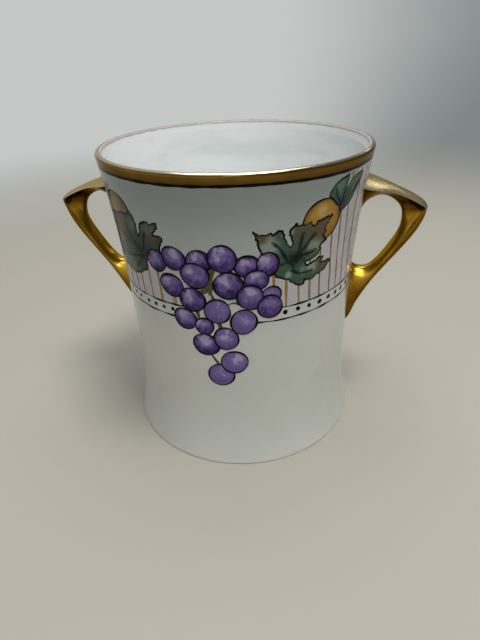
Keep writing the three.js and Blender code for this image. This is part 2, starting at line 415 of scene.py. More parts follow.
HANDLE_TOP, HANDLE_DROP, HANDLE_REACH = HEIGHT - 13.4, 66.7, 26.3
ROOT_FLANGE, ROOT_SPREAD = 11.3, 6.2  # how far the upper and the lower root widen to each side
ROOT_DEPTH = 1.5  # how far the roots reach into the wall
INNER_EDGE = 0.6  # half the width of the strap's inner edge
SIDE_ROUNDING = 0.55  # power that rounds a section's sides
SPREAD_FULLNESS, FULLEST = 0.78, 7.0  # how full the lower root is, and how far below the loop
# Painted shade: how far below the face the dark crease line lies and how wide it is.
CREASE_DEPTH, CREASE_SIZE = 0.9, 0.55  # where the brown crease runs below the upper arm's face
# Where the painted highlight on the lower root lies and how far it spreads.
BRIGHT_OUT, BRIGHT_HEIGHT = 5.0, 71.0  # the brightest place on the lower root
BRIGHT_SIZES = 3.0, 2.236  # how far it reaches out and up
SMOOTHING = 0.7  # how much the strap is smoothed along its length
CORNER = 7  # the station at the corner
# Each station: its crown end and its inner end as shares of the reach and the drop, then arm width,
# share of the flange, fade, bow, power of the sides' curve, share of the spread, and rounding.
STATIONS = np.array([
    (0, 0, 0, 0.209, 9, 1, 0.75, 0.9, 1, 0, 0.35),
    (0.05, 0.008, 0.035, 0.175, 9, 0.97, 0.8, 0.9, 1, 0, 0.35),
    (0.15, 0.022, 0.105, 0.142, 9, 0.85, 1, 0.9, 1, 0, 0.35),
    (0.31, 0.042, 0.27, 0.115, 9, 0.56, 1.4, 0.9, 1, 0, 0.35),
    (0.545, 0.077, 0.445, 0.134, 9, 0.27, 2.4, 0.9, 1, 0, 0.4),
    (0.8, 0.122, 0.565, 0.17, 9, 0.28, 3.2, 0.9, 1, 0, 0.45),
    (0.94, 0.155, 0.62, 0.199, 9, 0.15, 3.6, 0.9, 1, 0, 0.5),
    (1, 0.18, 0.647, 0.228, 7.4, 0, 1, 0.9, 1, 0, 0.6),
    (0.985, 0.262, 0.664, 0.285, 7.4, 0, 1, 3, 1.5, 0, 0.9),
    (0.86, 0.382, 0.635, 0.361, 8.4, 0, 1, 3, 2, 0, 1),
    (0.61, 0.538, 0.503, 0.476, 8.4, 0, 1, 3, 2, 0, 1),
    (0.39, 0.67, 0.33, 0.567, 8.4, 0, 1, 3, 2, 0.1, 1.2),
    (0.24, 0.78, 0.175, 0.586, 8.4, 0, 1, 3, 2, 0.3, 1.6),
    (0.14, 0.872, 0.085, 0.578, 6.3, 0, 1, 3, 2, 0.5, 1.9),
    (0.07, 0.955, 0.03, 0.567, 3.78, 0, 1, 0.9, 1, 0.78, 1.5),
    (0, 1, 0, 0.555, 2, 0, 1, 0.9, 1, 1, 0.5),
])


def bell(distance, size=1.0):
    """1 at no distance, falling to nearly nothing two sizes away."""
    return np.exp(-((distance / size) ** 2))


def spline(values, at):
    """A smooth curve through values at whole numbers, unbent at its ends."""
    count = len(values)
    system = np.eye(count)
    right = np.zeros_like(values)
    for i in range(1, count - 1):
        system[i, i - 1 : i + 2] = 1, 4, 1
        right[i] = 6 * (values[i - 1] - 2 * values[i] + values[i + 1])
    bend = np.linalg.solve(system, right)
    i = np.clip(np.floor(at).astype(int), 0, count - 2)
    t = np.clip(at - i, 0, 1)[:, None]
    straight = (1 - t) * values[i] + t * values[i + 1]
    return straight + (((1 - t) ** 3 - (1 - t)) * bend[i] + (t**3 - t) * bend[i + 1]) / 6


def looped(line, closed):
    return np.vstack([line, line[:1]]) if closed else line


def soften(points, sizes, closed):
    """Blurs each row of points along its length by its size in millimetres."""
    rows = []
    for row, size in zip(points, sizes):
        line = looped(row, closed)
        run = np.concatenate([[0], np.cumsum(np.linalg.norm(np.diff(line, axis=0), axis=1))])
        total = run[-1]
        fine = np.linspace(0, total, max(int(total / (size * 0.35)), 40), endpoint=not closed)
        samples = np.column_stack([np.interp(fine, run, values) for values in line.T])
        apart = run[: len(row), None] - fine[None, :]
        if closed:
            apart = (apart + total / 2) % total - total / 2
        weight = np.exp(-((apart / size) ** 2) / 2)
        blurred = weight @ samples / weight.sum(axis=1, keepdims=True)
        if not closed:
            stay = np.clip(np.minimum(run, total - run) / (3 * size), 0, 1)[:, None]
            blurred = row + (blurred - row) * stay
        rows.append(blurred)
    return np.array(rows)


def refit(soft, section):
    """Stretches a softened section back to the depth and width of the one that it was made from."""
    low, high = section.min(axis=0), section.max(axis=0)
    share = (soft - soft.min(axis=0)) / (soft.max(axis=0) - soft.min(axis=0))
    return low + share * (high - low)


def strap_section(depth, arm, flange, fade, bow, power, spread, face_steps=14, side_steps=32):
    """One section, as (share of its depth, place across), once round from one side's outer edge."""
    rise = bow / depth
    fullest = max(1 - FULLEST / depth, 0.4)

    def half(share):
        side = arm / 2 * (1 - share**power) ** SIDE_ROUNDING + flange * (1 - share) ** fade
        away = (share - fullest) / ((1 - fullest) if share > fullest else fullest)
        return side + SPREAD_FULLNESS * spread * (1 - away**2) + INNER_EDGE * share

    quarter = np.linspace(0, math.pi / 2, side_steps, endpoint=False)
    points = [(rise * a**2, a * half(0)) for a in np.linspace(-1, 1, face_steps, endpoint=False)]
    points += [(rise + (1 - rise) * share, half(share)) for share in np.sin(quarter) ** 2]
    points += [(1, INNER_EDGE * (1 - i / 2)) for i in range(4)]
    points += [(rise + (1 - rise) * share, -half(share)) for share in np.cos(quarter) ** 2]
    return np.array(points)


def strap_painted_light(place, out, height, below):
    """For the gold of one section, its painted light: how dark the painted shade along its crease is, how
    pale the painted sheen on its face and how bright the painted highlight on its root.
    """
    on_arm = min(max(CORNER + 0.3 - place, 0) * 2.5, 1)
    near_corner = bell(place - CORNER + 0.6)
    crease = on_arm * bell(below - CREASE_DEPTH - near_corner, CREASE_SIZE * (1 + 1.5 * near_corner))
    # Painted shade also runs just past the corner.
    past_corner = 0.75 * bell(place - CORNER - 1.1, 1.1)
    crease = np.maximum(crease, past_corner * bell(below - 1.0, 0.45))
    pale = on_arm * np.clip(0.9 - below / 0.7, 0, 0.9)
    bright = bell(out - BRIGHT_OUT, BRIGHT_SIZES[0]) * bell(height - BRIGHT_HEIGHT, BRIGHT_SIZES[1])
    return np.column_stack([crease, pale, bright * (place > CORNER)])


def strap(blunt, steps=16):
    """Rows of points, a section each, from the upper root to the lower one, and their painted light:
    crease shade, face sheen and root highlight.

    The corner is rounded by blunt millimetres.
    """
    ends = STATIONS[:, :4].reshape(-1, 2, 2) * [HANDLE_REACH, -HANDLE_DROP] + [0, HANDLE_TOP]
    forms = STATIONS[:, 4:] * [1, ROOT_FLANGE, 1, 1, 1, ROOT_SPREAD, 1]
    last = len(STATIONS) - 1
    at = np.linspace(0, last, last * steps + 1)
    upper = spline(ends[: CORNER + 1, 0], np.minimum(at, CORNER))
    lower = spline(ends[CORNER:, 0], np.maximum(at - CORNER, 0))
    crowns = np.where((at < CORNER)[:, None], upper, lower)
    inners = spline(ends[:, 1], at)
    rows, painted_light = [], []
    for place, crown, inner, form in zip(at, crowns, inners, spline(forms, at)):
        arm, flange, fade, bow, power, spread, rounding = form
        depth = np.linalg.norm(crown - inner)
        section = strap_section(depth, arm, max(flange, 0), fade, bow, max(power, 1), max(spread, 0))
        soft = soften([section * [depth, 1]], [rounding], True)[0] / [depth, 1]
        share, across = refit(soft, section).T
        line = crown + (inner - crown) * share[:, None]
        # Each section's painted shade, sheen and highlight.
        painted_light.append(strap_painted_light(place, *line.T, share * depth - bow))
        rows.append(np.column_stack([line[:, 0], across, line[:, 1]]))
    points = np.array(rows)
    points[:, :, 0] += np.sqrt(wall_radius(points[:, :, 2]) ** 2 - points[:, :, 1] ** 2)

    def softened(size):
        return soften(points.transpose(1, 0, 2), [size] * points.shape[1], False).transpose(1, 0, 2)

    points = softened(SMOOTHING)
    if blunt:
        points += bell(at - CORNER, 1.3)[:, None, None] * (softened(blunt) - points)
    inside = points[[0, -1]] - [ROOT_DEPTH, 0, 0]
    return np.concatenate([inside[:1], points, inside[1:]]), np.array([painted_light[0], *painted_light, painted_light[-1]])


def add_handle(name, node, turned=False, lift=0.0, rise=0.0, blunt=0.0):
    """One handle, set lift millimetres higher and rising by a share of its reach."""
    sections, painted_light = strap(blunt)
    rows, count = sections.shape[:2]
    faces = tube(rows, count)
    centres = sections[[0, -1]].mean(axis=1)
    centres[:, 0] = wall_radius(centres[:, 2]) - ROOT_DEPTH
    upper, last = rows * count, (rows - 1) * count
    for i in range(count):
        after = (i + 1) % count
        faces += [(upper, i, after), (upper + 1, last + after, last + i)]
    vertices = np.vstack([sections.reshape(-1, 3), centres])
    vertices[:, 2] += lift + rise * (vertices[:, 0] - WAIST_RADIUS)
    if turned:
        vertices = vertices * [-1, -1, 1]
    # Painted shade, sheen and highlight for the gold, one set for each point.
    attributes = {"painted_light": np.vstack([painted_light.reshape(-1, 3), np.zeros((2, 3))])}
    keep(add_object(name, vertices, faces, gold, attributes, sharp=50), "gilding", node)


gold = gold_finish("burnished_gold")
add_handle("right_handle", "handle_right")
add_handle("left_handle", "handle_left", turned=True, lift=0.6, rise=0.045, blunt=1.9)


# Painting. Places on the wall are (s, z): s is the distance round the wall from the middle of the
# front, towards +X, at ARC_RADIUS, and z the height.

def on_wall(places, lift, turn):
    angle = places[:, 0] / ARC_RADIUS + turn
    r = wall_radius(places[:, 1]) + lift
    return np.column_stack([r * np.sin(angle), -r * np.cos(angle), places[:, 1]])


def steps_along(points, closed):
    """The steps from each point of a line to the next, taken the short way round the wall."""
    steps = np.diff(looped(points, closed), axis=0)
    steps[:, 0] = (steps[:, 0] + HALF_ROUND) % (2 * HALF_ROUND) - HALF_ROUND
    return steps


def run_lengths(points, closed):
    return np.concatenate([[0], np.cumsum(np.linalg.norm(steps_along(points, closed), axis=1))])


def sideways(line, closed):
    """The direction across a line at each of its points."""
    steps = steps_along(line, closed)
    if closed:
        along = steps + np.roll(steps, 1, axis=0)
    else:
        along = np.vstack([steps[:1], steps[:-1] + steps[1:], steps[-1:]])
    along /= np.maximum(np.linalg.norm(along, axis=1, keepdims=True), 1e-9)
    return np.column_stack([-along[:, 1], along[:, 0]])


def resample(points, spacing, closed):
    """The same line with points an even spacing apart."""
    run = run_lengths(points, closed)
    count = max(int(round(run[-1] / spacing)), 3)
    at = np.linspace(0, run[-1], count if closed else count + 1, endpoint=not closed)
    return np.column_stack([np.interp(at, run, values) for values in looped(points, closed).T])


def brushed(controls, size, closed=False):
    """A line through places, given in one row, with its corners rounded as a brush rounds them."""
    points = np.reshape(controls, (-1, 2)).astype(float)
    return soften([resample(points, 0.3, closed)], [size], closed)[0]


def ellipse(centre, half, tilt, spacing, wobble, seed):
    chance = random.Random(seed)
    phase, second = chance.uniform(0, 6.3), chance.uniform(0, 6.3)
    count = max(int(2 * math.pi * (half[0] + half[1]) / 2 / spacing), 12)
    a = np.arange(count) * 2 * math.pi / count
    swell = 1 + wobble * (np.sin(2 * a + phase) + 0.6 * np.sin(3 * a + second))
    x, z = half[0] * swell * np.cos(a), half[1] * swell * np.sin(a)
    c, s = math.cos(math.radians(tilt)), math.sin(math.radians(tilt))
    return np.column_stack([centre[0] + x * c - z * s, centre[1] + x * s + z * c])


def away_from(points, line):
    """How far each point is from the nearest point of a line."""
    return np.linalg.norm(points[:, None] - line[None], axis=2).min(axis=1)


class Painting:
    """Gathers thin closed films of paint on the wall, turned round the cup, into one object."""

    SINK = 0.15  # how far a film reaches into the glaze

    def __init__(self, name, material, turn=0.0):
        self.name, self.material, self.turn = name, material, turn
        self.vertices, self.faces, self.local = [], [], []

    def add(self, vertices, faces, local):
        base = len(self.vertices)
        self.vertices += vertices.tolist()
        self.faces += [tuple(base + k for k in face) for face in faces]
        self.local += local.tolist()

    def film(self, outline, lift, local=None, pitch=0.9):
        """A filled outline. local gives each point's three values for the material."""
        low, high = outline.min(axis=0), outline.max(axis=0)
        grid = np.array([
            (x, z)
            for x in np.arange(low[0] + pitch / 2, high[0], pitch)
            for z in np.arange(low[1] + pitch / 2, high[1], pitch * 1.5)
        ]).reshape(-1, 2)
        if len(grid):
            grid = grid[away_from(grid, outline) > pitch * 0.45]
        places = [Vector(p) for p in np.vstack([outline, grid])]
        count = len(outline)
        ring = [(i, (i + 1) % count) for i in range(count)]
        found = delaunay_2d_cdt(places, ring, [list(range(count))], 1, 1e-6)
        points = np.array(found[0])
        triangles = [tuple(f) for f in found[2]]
        edges = {(a, b) for f in triangles for a, b in zip(f, f[1:] + f[:1])}
        rim = sorted((a, b) for a, b in edges if (b, a) not in edges)
        total = len(points)
        top = on_wall(points, lift, self.turn)
        bottom = on_wall(points, -self.SINK, self.turn)
        faces = triangles + [tuple(total + k for k in reversed(f)) for f in triangles]
        faces += [(b, a, total + a, total + b) for a, b in rim]
        values = local(points) if local else np.zeros((total, 3))
        self.add(np.vstack([top, bottom]), faces, np.vstack([values, values]))

    def ribbon(self, line, width, lift, closed=False, wander=0.12, seed=1):
        """A painted line. width is a number, or one for each point of the line."""
        count = len(line)
        chance = random.Random(seed)
        waves = [(chance.uniform(0.25, 0.9), chance.uniform(0, 6.3)) for _ in range(3)]
        run = run_lengths(line, closed)
        if closed:
            once = 2 * math.pi / run[-1]
            waves = [(once * max(round(f / once), 1), p) for f, p in waves]
        vary = 1 + wander * sum(np.sin(run[:count] * f + p) for f, p in waves)
        half = (np.broadcast_to(width, count) * vary / 2)[:, None]
        side = sideways(line, closed) * half
        left, right = line + side, line - side
        rails = ((left, -self.SINK), (left, lift), (right, lift), (right, -self.SINK))
        vertices = np.stack([on_wall(rail, at, self.turn) for rail, at in rails], axis=1).reshape(-1, 3)
        faces = [(p, s, r, q) for p, q, r, s in tube(count, 4, closed)]
        if not closed:
            end = 4 * (count - 1)
            faces += [(3, 2, 1, 0), (end, end + 1, end + 2, end + 3)]
        self.add(vertices, faces, np.zeros((len(vertices), 3)))

    def make(self):
        attributes = {"local": self.local}
        made = add_object(self.name, self.vertices, self.faces, self.material, attributes, sharp=30)
        keep(made, "porcelain")


def paintings(suffix, turn, **materials):
    """Empty paintings for one side, in their materials."""
    return [Painting(name + suffix, material, turn) for name, material in materials.items()]


PAINT_GLOSS = 0.16  # specular level


def berry_finish(name, light, body, dark, gleam, mottle):
    """A painted fruit: local is the place across it, from -1 to 1, and a number of its own."""
    finish = Finish(name, body, 0.2, specular=PAINT_GLOSS)
    x, z, own = finish.attribute("local")
    brush = finish.ramp(finish.noise(250, 4, 0.62, distortion=0.35), 0.3, 0.7, -mottle, mottle)
    aside = finish.add(x, finish.ramp(own, 0, 1, 0.28, -0.08))
    worn = finish.add(finish.squares(aside, finish.add(z, -0.38)), brush)
    tone = finish.mix(finish.ramp(worn, 0.0, 0.95), light, body)
    across = finish.squares(x, z)
    rim = finish.ramp(finish.add(across, brush), 0.45, 1.1)
    low = finish.ramp(finish.math("SUBTRACT", brush, z), 0.0, 1.0, 0.0, 0.85)
    tone = finish.mix(finish.most(rim, low), tone, dark)
    tone = finish.mix(finish.ramp(own, 0.3, 1, 0.0, 0.6), tone, light)
    clouds = finish.ramp(finish.noise(520, 3, 0.6, distortion=0.3), 0.48, 0.75, 0.0, 0.4)
    clouds = finish.times(clouds, finish.ramp(across, 0.15, 0.9, 1.0, 0.1))
    tone = finish.mix(clouds, tone, gleam)
    tone = finish.mix(finish.ramp(worn, -0.12, 0.16, 0.8, 0.0), tone, gleam)
    return finish.done(tone, finish.ramp(brush, -mottle, mottle, 0.14, 0.26))


def leaf_finish(name, pale, body, dark, autumn):
    """A painted leaf: local is how near a vein, a brown patch and a pale patch are."""
    finish = Finish(name, body, 0.22, specular=PAINT_GLOSS)
    vein, patch, bleached = finish.attribute("local")
    brush = finish.noise(210, 4, 0.65, distortion=0.5)
    sway = finish.ramp(brush, 0.3, 0.7, -0.16, 0.16)
    faded = finish.ramp(finish.noise(130, 4, 0.6), 0.48, 0.75, 0.0, 0.5)
    bleached = finish.most(finish.add(bleached, sway), faded)
    tone = finish.mix(finish.ramp(bleached, 0.1, 0.9), body, pale)
    tone = finish.mix(finish.ramp(finish.add(patch, sway), 0.15, 0.95), tone, autumn)
    tone = finish.mix(finish.ramp(finish.add(vein, sway), 0.25, 0.95), tone, dark)
    return finish.done(tone, finish.ramp(brush, 0.3, 0.7, 0.15, 0.28))


def line_finish(name, color, worn, specular=PAINT_GLOSS):
    """A painted line: pigment that thins here and there."""
    finish = Finish(name, color, 0.25, specular=specular)
    thin = finish.ramp(finish.noise(420, 4, 0.65), 0.5, 0.78)
    gloss = finish.ramp(finish.noise(300, 2), 0.3, 0.7, 0.18, 0.32)
    return finish.done(finish.mix(thin, color, worn), gloss)


ink = line_finish("ink_line", "#050405", "#0f0d10", specular=0.08)
ochre = line_finish("ochre_stripe", "#ad7f35", "#7f6442")
umber = line_finish("umber_line", "#5d4a3a", "#85705e")
wash = line_finish("lavender_wash", "#cbcad0", "#d5d5d8")
olive = line_finish("olive_stem", "#55532f", "#716e4c")
grape = berry_finish("grape_violet", "#8470ae", "#553a86", "#220b4a", "#beb2d4", 0.33)
apricot = berry_finish("apricot", "#bf963f", "#a87a22", "#7d5614", "#d8c6a0", 0.07)
# The left fruit and the left leaf of each picture are darker copies of the right fruit's and right leaf's
# paint: painted shade.
shaded_apricot = berry_finish("shaded_apricot", "#8f7c49", "#7a6233", "#5d4826", "#a99b76", 0.07)
vine = leaf_finish("vine_leaf", "#93a597", "#425f4e", "#0d1a12", "#66583f")
shaded_vine = leaf_finish("shaded_vine_leaf", "#5c6b5a", "#2c4737", "#07170f", "#574e44")
lance = leaf_finish("lance_leaf", "#64806f", "#3d5f52", "#20392f", "#56523f")

# How far the paint stands out of the wall, from the lowest layer up.
GROUND, STRIPE, LINE, FRUIT, LEAF = 0.012, 0.018, 0.024, 0.03, 0.045
BERRY, LAYER, OVER = 0.06, 0.016, 0.007
# How wide the lines are.
LEAF_LINE, FRUIT_LINE, VEIN_LINE = 0.62, 0.56, 0.42
BORDER_LINE, BLACK_LINE, SHADE_LINE = 0.64, 0.98, 0.3

# Berries of one cluster, from the back layer to the front: place, half sizes and tilt in degrees.
BERRIES = [
    (-23.2, 92.4, 4.4, 4.2, 22), (-6.3, 94.6, 4.4, 4.2, 0), (18.5, 80.8, 3.8, 3.3, 15),
    (10.1, 92.8, 4.2, 4.2, -20), (-15.6, 94.6, 4.6, 4.5, -6), (1.8, 95.8, 4.9, 5.1, 0),
    (17, 93, 3.9, 4.6, 4), (13.2, 87.4, 4.3, 3.8, 0), (-18, 83.6, 4.9, 4.6, -8), (-8.2, 88.9, 5.3, 4.9, 6),
    (3.5, 85.5, 5.2, 5.4, 8), (11, 80.6, 4.8, 4.9, 0), (-14, 70.2, 4.7, 4.4, -10),
    (-10.2, 78.9, 4.9, 4.9, 0), (18.1, 76.1, 4.6, 4.7, -20), (-6.5, 68, 3.6, 3.6, 0),
    (-1.1, 74.9, 4.9, 4.9, 0), (8.4, 70.4, 4.8, 5.2, -6), (-6.4, 59.8, 5.2, 4.8, -12),
    (1.6, 63.1, 4.7, 4.8, 5), (-1.2, 45.9, 5.3, 5, -6), (4.3, 52.2, 5.2, 5.1, 4),
]
PALE_BERRIES = 2  # how many of the last ones are paler
# Stems between the berries: their width, then the places that they run through, in one row.
STEMS = [
    (1.5, (-1.7, 92.5, -2, 89, -3, 84.4, -3.6, 81.6)),
    (2.6, (-2.7, 86.2, -4.2, 83.6, -6.6, 82.4, -7.8, 81.8)),
    (2.6, (-3, 85, -3.2, 82.8, -2.3, 80.4, -1.6, 79)),
    (1.1, (1.4, 75.6, 2.7, 77.8, 5, 78.9, 7.6, 77.8)),
    (1.7, (-0.8, 71, -0.4, 68.5, 0.2, 66)),
    (1.4, (-5.4, 57, -3.8, 54, -1.6, 50.6)),
    (1.3, (-9, 75.5, -8.5, 72.5, -8, 70.5)),
]
# The leaves: outline, hub, veins, then brown and pale patches, each as its place and size.
RIGHT_LEAF = (
    (
        12, 105.4, 13.8, 104, 15.6, 103.8, 17.4, 104.2, 18.8, 103.6, 20.2, 104.8, 21.6, 104.6, 22.2, 102.4,
        23.4, 99.8, 24.6, 98.2, 25.5, 98.6, 25.3, 100.8, 24.2, 103.4, 24.4, 104.8, 25.6, 105.6,
        26.6, 106.5, 27, 105.3, 28.4, 105.6, 30.2, 105.3, 31.8, 106.1, 32.4, 104.4, 33.4, 104.2,
        34.6, 105.5, 37.4, 106.1, 40.9, 106.6, 39.8, 104.8, 38.5, 103.4, 38, 102.2, 38.6, 101.2,
        37.7, 99.9, 38.4, 98.7, 39.6, 97.9, 37.9, 97.1, 36.6, 96.1, 37, 94.6, 36.3, 93.2, 34.6, 92.2,
        32.4, 91.9, 30.8, 91.2, 31, 90.2, 32.6, 89.9, 34.6, 90.6, 36.8, 91.7, 39, 91.4, 38.6, 90.3,
        37.4, 89.6, 39.4, 89.2, 43.2, 89.4, 41.6, 87.8, 40.4, 86.2, 38.4, 85.4, 36.4, 85, 34.2, 83.7,
        32.2, 84.2, 31, 84.6, 31.3, 83.3, 30, 82.4, 28.2, 83.1, 26.4, 84.3, 24.8, 85.8, 22.6, 86.7,
        20.6, 87.6, 18.5, 89.5, 16.5, 93, 15, 97, 14, 99.2, 13.4, 102, 12.9, 103.6,
    ),
    (27.1, 93.6),
    [
        (26.6, 90.5, 24.6, 92.3, 22.8, 95, 21, 98.5, 18.6, 100.8),
        (27, 93.7, 28.2, 97.5, 29.2, 102.5),
        (27.5, 94, 30.5, 97.5, 32, 99.5, 33.8, 101.2),
        (28.2, 94.8, 31, 94.2, 34.8, 95.2),
        (25.8, 89.5, 28, 87.6, 30.5, 87.1, 34.2, 87.3),
        (21.2, 92.2, 23.4, 92.4, 25.2, 93),
    ],
    [(14, 103.5, 3.4), (36.5, 103.2, 6.6), (28.5, 104, 3.5), (40, 88.5, 4.2)],
    [(17, 99.5, 4.5), (23.5, 104, 2.5), (34.5, 97.5, 3.2), (34, 89, 2.5), (24.5, 87.8, 1.4)],
)
LEFT_LEAF = (
    (
        -30.4, 99.9, -29.4, 101.2, -28.6, 103.6, -27.9, 105.3, -26.6, 105.8, -25.2, 106.7, -24.2, 106.3,
        -23.2, 105.7, -21.8, 106.4, -20.1, 107, -20.2, 105.4, -21.2, 104, -22.6, 103.1, -22.5, 102.1,
        -21, 101.9, -19.3, 102.2, -18.7, 101.4, -19.3, 100, -20.4, 98.8, -20.7, 97, -21.5, 94, -25, 92,
        -28, 91.6, -28.7, 90, -28.9, 88, -29.6, 86.9, -31.4, 86.2, -32.6, 85.6, -33.4, 84.8, -35.4, 84.2,
        -37.4, 83.6, -39.2, 82.8, -40.2, 83.8, -42.6, 83.7, -45, 84.4, -47.5, 84, -48.5, 86, -51, 87.5,
        -50, 90, -52.5, 93, -51.5, 96, -53.5, 99, -52, 102, -53, 105, -49.5, 104.6, -46.5, 105.8,
        -43, 105.6, -40.5, 106.6, -38, 107.3, -36.2, 107, -34.6, 107.5, -33.2, 108.8, -32, 108.6,
        -31, 106.8, -30.4, 104.2, -30.7, 101.6,
    ),
    (-30.5, 94),
    [
        (-30.5, 94, -33, 97, -36, 99.5, -37.8, 102.5),
        (-31.5, 95, -35, 96.5, -40, 98.5, -45, 99),
        (-29.5, 93, -36, 91, -42, 90, -46, 90.5),
        (-29.5, 95, -28.3, 97, -28, 99.5, -26.5, 102),
        (-30.5, 92, -33, 89, -36, 87),
    ],
    [(-47, 99, 8), (-40, 104, 4), (-23, 100, 3)],
    [(-40, 87, 5), (-24, 104, 4), (-33, 104, 3)],
)
LANCE_LEAVES = [
    (
        (
            43.9, 109, 42, 110, 40, 112, 38, 113.3, 38.3, 115, 40, 117, 42.5, 118.3, 45, 118.8,
            46.2, 119.3, 46, 117.5, 45.7, 115, 45.2, 113, 44.5, 110.5,
        ),
        (43.9, 109),
        [(44, 110, 41.5, 113, 40.5, 116)],
        [],
        [(42.5, 116.5, 3)],
    ),
    (
        (
            44, 108, 44.7, 110.5, 45.5, 113.5, 47, 115.5, 49, 117.3, 51.5, 118.2, 54, 118.4, 56, 118,
            54.5, 115.5, 52.5, 112.5, 50.8, 109.9, 49, 108.6, 46.5, 107.4, 44.7, 106.6,
        ),
        (44.5, 108.5),
        [(44.5, 109, 48, 113, 50.5, 116.5), (46, 109, 50, 112, 53, 115)],
        [],
        [(50, 115, 3)],
    ),
]


def leaf_values(hub, veins, brown, pale, shade):
    """For a leaf's material: how near points are to a vein, to a brown patch and to a pale one."""
    def nearness(points, patches):
        found = [bell(np.linalg.norm(points - (s, z), axis=1), size) for s, z, size in patches]
        return np.max([np.zeros(len(points)), *found], axis=0)

    def values(points):
        along_vein = [0.85 * bell(away_from(points, vein), shade) for vein in veins]
        dark = np.max([*along_vein, nearness(points, [(*hub, 4.5)])], axis=0)
        return np.column_stack([dark, nearness(points, brown), nearness(points, pale)])

    return values


def ragged(line, size, seed):
    """A closed line with small uneven teeth."""
    chance = random.Random(seed)
    run = run_lengths(line, True)
    total = run[-1]
    teeth = 0
    for wave in (1.5, 2.1, 2.9):
        count = round(total / wave)
        teeth = teeth + np.sin(2 * math.pi * count * run[:-1] / total + chance.uniform(0, 6.3))
    return line + sideways(line, True) * (size * teeth / 2)[:, None]


def add_leaf(fills, lines, leaf, lift, seed, teeth=0.0, shade=1.0, vein_width=VEIN_LINE):
    outline, hub, veins, brown, pale = leaf
    shape = ragged(brushed(outline, 0.2, True), teeth, seed)
    veins = [brushed(vein, 0.9) for vein in veins]
    fills.film(shape, lift, leaf_values(hub, veins, brown, pale, shade), pitch=0.6)
    lines.ribbon(shape, LEAF_LINE, lift + OVER, closed=True, seed=seed)
    for k, vein in enumerate(veins):
        lines.ribbon(vein, vein_width * np.linspace(1, 0.3, len(vein)), lift + OVER, seed=seed + k)


def add_fruit(fills, lines, centre, half, tilt, lift, seed, width=FRUIT_LINE, own=None):
    outline = ellipse(centre, half, tilt, 0.45, 0.018, seed)
    own = random.Random(seed).random() if own is None else own

    def values(points):
        c, s = math.cos(math.radians(tilt)), math.sin(math.radians(tilt))
        across = (points - centre) @ [[c, -s], [s, c]] / half
        return np.column_stack([across, np.full(len(points), own)])

    fills.film(outline, lift, values)
    lines.ribbon(outline, width, lift + OVER, closed=True, wander=0.2, seed=seed)


def berry_layers():
    """How high each berry lies: one layer above the highest berry that it overlaps."""
    layers = []
    for s, z, a, b, _ in BERRIES:
        under = [
            layer
            for (s2, z2, a2, b2, _), layer in zip(BERRIES, layers)
            if math.hypot((s - s2) / (a + a2 + 0.8), (z - z2) / (b + b2 + 0.8)) < 1
        ]
        layers.append(max(under, default=-1) + 1)
    return layers


def paint_side(suffix, turn):
    """One side's picture: a cluster of grapes between two leaves, each with a fruit behind it."""
    # The left fruit and leaf take the darker copies of the paint, which are painted shade.
    pieces = paintings(
        suffix, turn, ink_lines=ink, grapes=grape, right_fruit=apricot, left_fruit=shaded_apricot,
        right_leaf=vine, left_leaf=shaded_vine, lance_leaves=lance, stems=olive,
    )
    inks, grapes, right_fruit, left_fruit, right_leaf, left_leaf, lances, stems = pieces
    add_fruit(right_fruit, inks, (36.6, 105.4), (8, 7.6), -24, FRUIT, 31, width=0.62)
    add_fruit(left_fruit, inks, (-41.5, 105.8), (9.2, 8.6), 12, FRUIT, 32, width=0.6)
    for k, leaf in enumerate(LANCE_LEAVES):
        add_leaf(lances, inks, leaf, FRUIT + LAYER / 2, 41 + k)
    add_leaf(right_leaf, inks, RIGHT_LEAF, LEAF, 51, teeth=0.2)
    add_leaf(left_leaf, inks, LEFT_LEAF, LEAF, 61, teeth=0.2, shade=1.1, vein_width=0.62)
    for k, (width, stem) in enumerate(STEMS):
        stem = brushed(stem, 0.9)
        tapered = np.linspace(1.1, 0.6, len(stem)) * width
        stems.ribbon(stem, tapered, LEAF + 0.002 + 0.001 * k, wander=0.2, seed=70 + k)
    for k, ((s, z, a, b, tilt), layer) in enumerate(zip(BERRIES, berry_layers())):
        own = 0.95 if k >= len(BERRIES) - PALE_BERRIES else None
        add_fruit(grapes, inks, (s, z), (a, b), tilt, BERRY + LAYER * layer, 200 + k, own=own)
    for piece in pieces:
        piece.make()


paint_side("_front", 0.0)
paint_side("_back", math.pi)


# Stripes and dots: their places on the border, to the right and left of a picture's middle.
RIGHT_STRIPES = [19.3, 24.2, 29.4, 34.4, 39, 44.8, 49, 53.3, 58.8, 63.4, 68.1, 72.9, 77.7]
LEFT_STRIPES = [17.8, 23.7, 28.6, 34, 38.2, 43.1, 48, 53, 58.1, 63.1, 68, 72.9]
RIGHT_DOTS = [24.1, 29.4, 34.5, 39.8, 45, 49.8, 54.3, 59.6, 64.4, 69.2, 74]
LEFT_DOTS = [19.3, 23.6, 28, 32.5, 38.2, 42.5, 47.3, 52.1, 56.9, 61.7, 66.5, 71.3, 76.1]
RIGHT_DOT, LEFT_DOT = 1.16, 0.98  # how large the dots are
BORDER_TOP, BORDER_FOOT, DOT_HEIGHT = 75.1, 70.0, 72.75
PANEL_FROM, PANEL_TO = 12, 54  # between these places a panel climbs up to the black line
PANEL_CLIMB = 0.6  # power of that climb: a lower one is steeper at first
LEAN = 0.11  # how far the stripes beside the right handle lean, in millimetres to the millimetre


def panel_top(s):
    """The upper end of the stripes, hidden behind the leaves and the fruit where it climbs."""
    away = min(s, HALF_ROUND - s)
    share = min(max((away - PANEL_FROM) / (PANEL_TO - PANEL_FROM), 0), 1)
    return BORDER_TOP + share**PANEL_CLIMB * (LIP_SEAT - 0.6 - BORDER_TOP)


